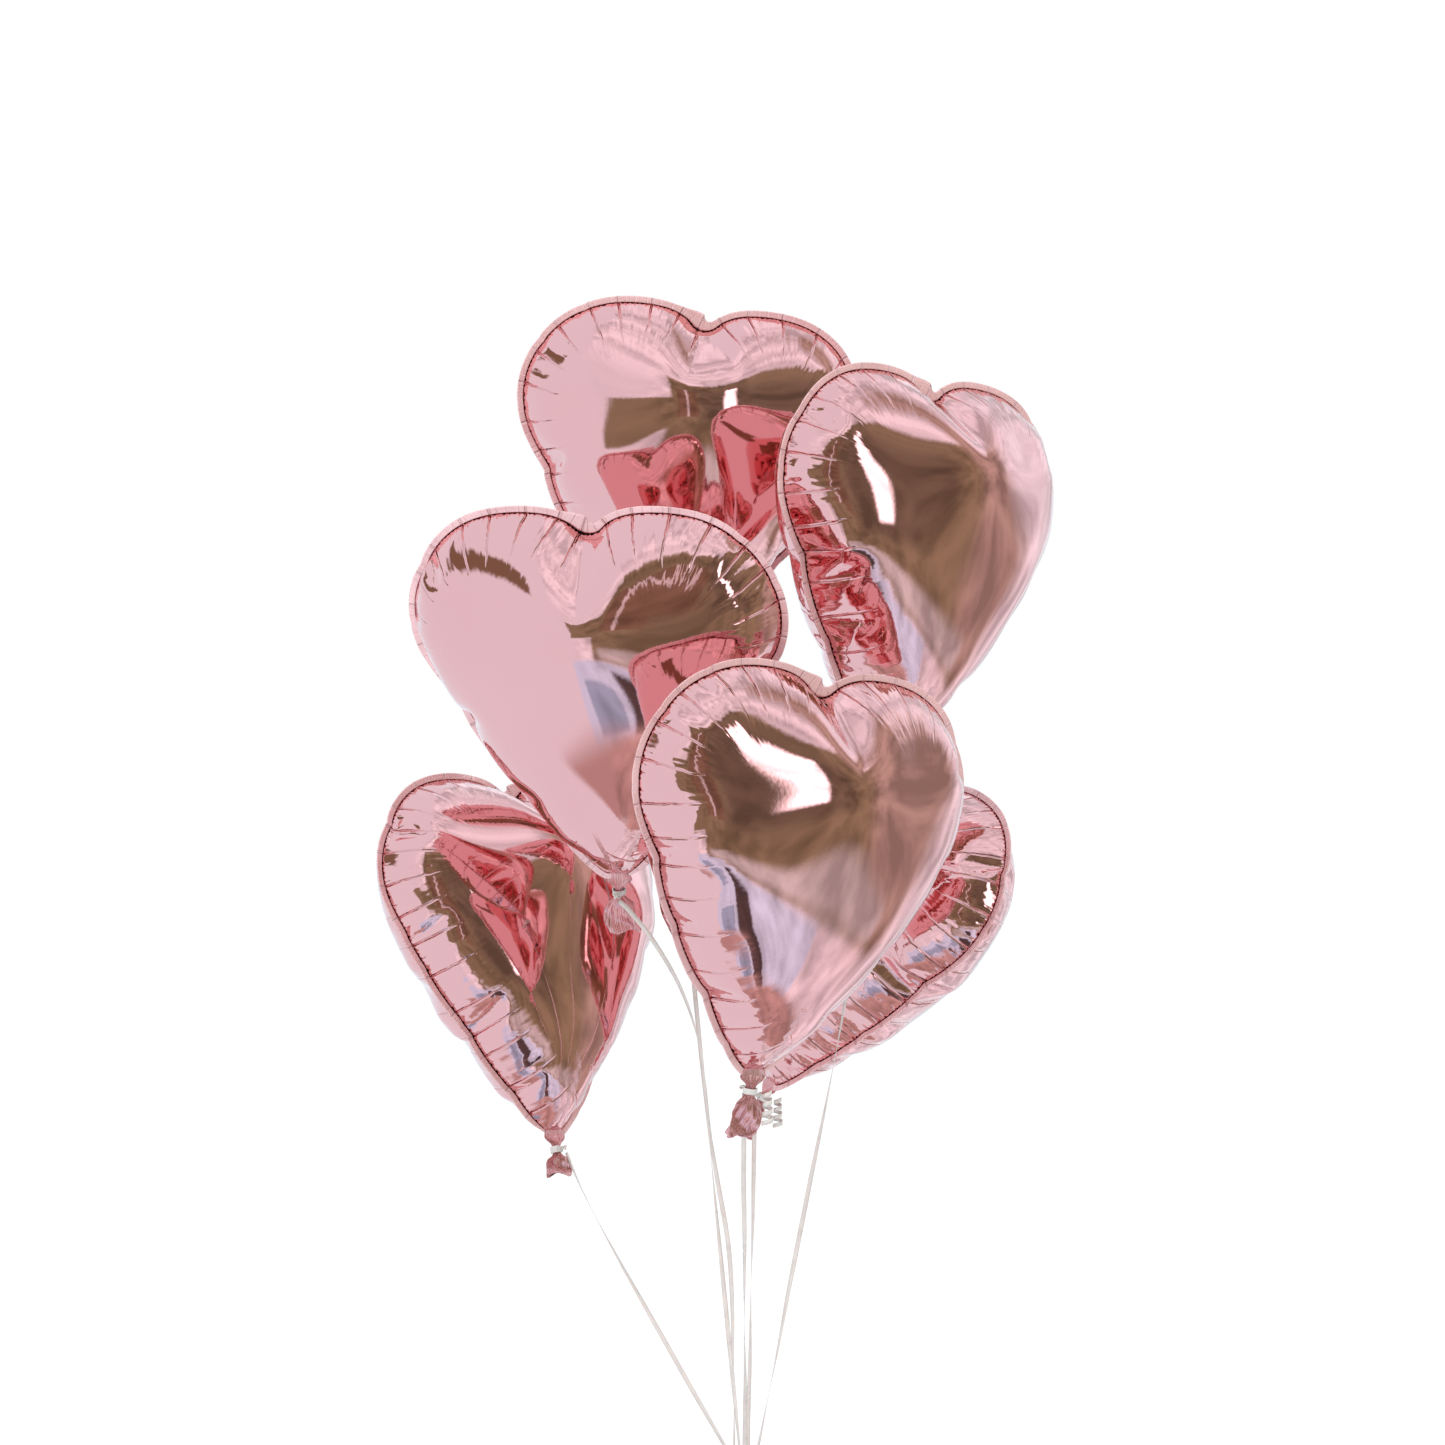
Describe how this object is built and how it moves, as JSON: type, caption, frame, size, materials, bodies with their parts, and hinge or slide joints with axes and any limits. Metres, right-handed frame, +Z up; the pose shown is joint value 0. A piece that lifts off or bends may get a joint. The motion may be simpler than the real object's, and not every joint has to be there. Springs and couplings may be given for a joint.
{
  "type": "heart foil balloon bunch",
  "caption": "Heart-shaped foil balloons with gathered tails, each tied to a curling ribbon, held together by one hand knot with a loop.",
  "frame": {"origin": "middle of the hand knot where the ribbons meet", "axes": "+Z up from the hand knot towards the balloons, +Y away from the viewer, +X to the viewer's right"},
  "size_m": [0.7339, 0.7219, 1.3249],
  "materials": {
    "foil": "mirror-bright rose gold metallised film",
    "foil_back": "mirror-bright rose gold metallised film, back sheet",
    "clear_film": "thin clear valve film",
    "ribbon": "glossy white curling ribbon"
  },
  "bodies": {
    "hand_body": {"gather_knot": "ribbon", "hand_loop": "ribbon"},
    "center_ribbon_body": {"center_ribbon": "ribbon"},
    "center_tie_body": {"center_tie": "ribbon", "center_curl": "ribbon"},
    "center_balloon": {"center_front_film": "foil", "center_back_film": "foil_back", "center_valve": "clear_film"},
    "left_ribbon_body": {"left_ribbon": "ribbon"},
    "left_tie_body": {"left_tie": "ribbon"},
    "left_balloon": {"left_front_film": "foil", "left_back_film": "foil_back", "left_valve": "clear_film"},
    "lower_left_ribbon_body": {"lower_left_ribbon": "ribbon"},
    "lower_left_tie_body": {"lower_left_tie": "ribbon"},
    "lower_left_balloon": {"lower_left_front_film": "foil", "lower_left_back_film": "foil_back", "lower_left_valve": "clear_film"},
    "lower_right_ribbon_body": {"lower_right_ribbon": "ribbon"},
    "lower_right_tie_body": {"lower_right_tie": "ribbon", "lower_right_curl": "ribbon"},
    "lower_right_balloon": {"lower_right_front_film": "foil", "lower_right_back_film": "foil_back", "lower_right_valve": "clear_film"},
    "upper_right_ribbon_body": {"upper_right_ribbon": "ribbon"},
    "upper_right_tie_body": {"upper_right_tie": "ribbon"},
    "upper_right_balloon": {"upper_right_front_film": "foil", "upper_right_back_film": "foil_back", "upper_right_valve": "clear_film"},
    "upper_left_ribbon_body": {"upper_left_ribbon": "ribbon"},
    "upper_left_tie_body": {"upper_left_tie": "ribbon"},
    "upper_left_balloon": {"upper_left_front_film": "foil", "upper_left_back_film": "foil_back", "upper_left_valve": "clear_film"}
  },
  "joints": [
    {"name": "center_sway", "type": "hinge", "parent": "hand_body", "child": "center_ribbon_body", "pos_m": [0, -0.01, 0.008], "axis": [0.995, 0.0995, 0], "range_deg": [0, 8], "stiffness_Nm_per_rad": 3},
    {"name": "center_tilt", "type": "hinge", "parent": "center_ribbon_body", "child": "center_tie_body", "pos_m": [-0.00203, -0.18075, 0.42488], "axis": [0.995, 0.0995, 0], "range_deg": [0, 12], "stiffness_Nm_per_rad": 1.2},
    {"name": "center_swivel", "type": "hinge", "parent": "center_tie_body", "child": "center_balloon", "pos_m": [0.004, -0.19, 0.423], "axis": [0.173, -0.0872, 0.9811], "range_deg": [-8, 8], "stiffness_Nm_per_rad": 0.2},
    {"name": "left_sway", "type": "hinge", "parent": "hand_body", "child": "left_ribbon_body", "pos_m": [-0.01, -0.002, 0.008], "axis": [0.1483, -0.9889, 0], "range_deg": [0, 8], "stiffness_Nm_per_rad": 3},
    {"name": "left_tilt", "type": "hinge", "parent": "left_ribbon_body", "child": "left_tie_body", "pos_m": [-0.13242, -0.01508, 0.60175], "axis": [0.1483, -0.9889, 0], "range_deg": [0, 12], "stiffness_Nm_per_rad": 1.2},
    {"name": "left_swivel", "type": "hinge", "parent": "left_tie_body", "child": "left_balloon", "pos_m": [-0.13, -0.005, 0.606], "axis": [-0.0647, -0.3746, 0.9249], "range_deg": [-8, 8], "stiffness_Nm_per_rad": 0.2},
    {"name": "lower_left_sway", "type": "hinge", "parent": "hand_body", "child": "lower_left_ribbon_body", "pos_m": [-0.009, 0.005, 0.008], "axis": [-0.2873, -0.9578, 0], "range_deg": [0, 8], "stiffness_Nm_per_rad": 3},
    {"name": "lower_left_tilt", "type": "hinge", "parent": "lower_left_ribbon_body", "child": "lower_left_tie_body", "pos_m": [-0.19448, 0.11232, 0.32313], "axis": [-0.2873, -0.9578, 0], "range_deg": [0, 12], "stiffness_Nm_per_rad": 1.2},
    {"name": "lower_left_swivel", "type": "hinge", "parent": "lower_left_tie_body", "child": "lower_left_balloon", "pos_m": [-0.202, 0.12, 0.32], "axis": [-0.1518, 0.2419, 0.9583], "range_deg": [-8, 8], "stiffness_Nm_per_rad": 0.2},
    {"name": "lower_right_sway", "type": "hinge", "parent": "hand_body", "child": "lower_right_ribbon_body", "pos_m": [0.003, 0.009, 0.008], "axis": [-0.7071, 0.7071, 0], "range_deg": [0, 8], "stiffness_Nm_per_rad": 3},
    {"name": "lower_right_tilt", "type": "hinge", "parent": "lower_right_ribbon_body", "child": "lower_right_tie_body", "pos_m": [0.01362, 0.22407, 0.36648], "axis": [-0.7071, 0.7071, 0], "range_deg": [0, 12], "stiffness_Nm_per_rad": 1.2},
    {"name": "lower_right_swivel", "type": "hinge", "parent": "lower_right_tie_body", "child": "lower_right_balloon", "pos_m": [0.022, 0.23, 0.362], "axis": [0.4993, -0.0523, 0.8648], "range_deg": [-8, 8], "stiffness_Nm_per_rad": 0.2},
    {"name": "upper_right_sway", "type": "hinge", "parent": "hand_body", "child": "upper_right_ribbon_body", "pos_m": [0.01, 0.003, 0.008], "axis": [0.3303, 0.9439, 0], "range_deg": [0, 8], "stiffness_Nm_per_rad": 3},
    {"name": "upper_right_tilt", "type": "hinge", "parent": "upper_right_ribbon_body", "child": "upper_right_tie_body", "pos_m": [0.15311, 0.03143, 0.72883], "axis": [0.3303, 0.9439, 0], "range_deg": [0, 12], "stiffness_Nm_per_rad": 1.2},
    {"name": "upper_right_swivel", "type": "hinge", "parent": "upper_right_tie_body", "child": "upper_right_balloon", "pos_m": [0.146, 0.04, 0.73], "axis": [0.1218, -0.0349, 0.9919], "range_deg": [-8, 8], "stiffness_Nm_per_rad": 0.2},
    {"name": "upper_left_sway", "type": "hinge", "parent": "hand_body", "child": "upper_left_ribbon_body", "pos_m": [-0.003, 0.009, 0.008], "axis": [-0.9806, -0.1961, 0], "range_deg": [0, 8], "stiffness_Nm_per_rad": 3},
    {"name": "upper_left_tilt", "type": "hinge", "parent": "upper_left_ribbon_body", "child": "upper_left_tie_body", "pos_m": [-0.08873, 0.23915, 0.82952], "axis": [-0.9806, -0.1961, 0], "range_deg": [0, 12], "stiffness_Nm_per_rad": 1.2},
    {"name": "upper_left_swivel", "type": "hinge", "parent": "upper_left_tie_body", "child": "upper_left_balloon", "pos_m": [-0.09, 0.25, 0.832], "axis": [0.1192, -0.2079, 0.9709], "range_deg": [-8, 8], "stiffness_Nm_per_rad": 0.2}
  ]
}
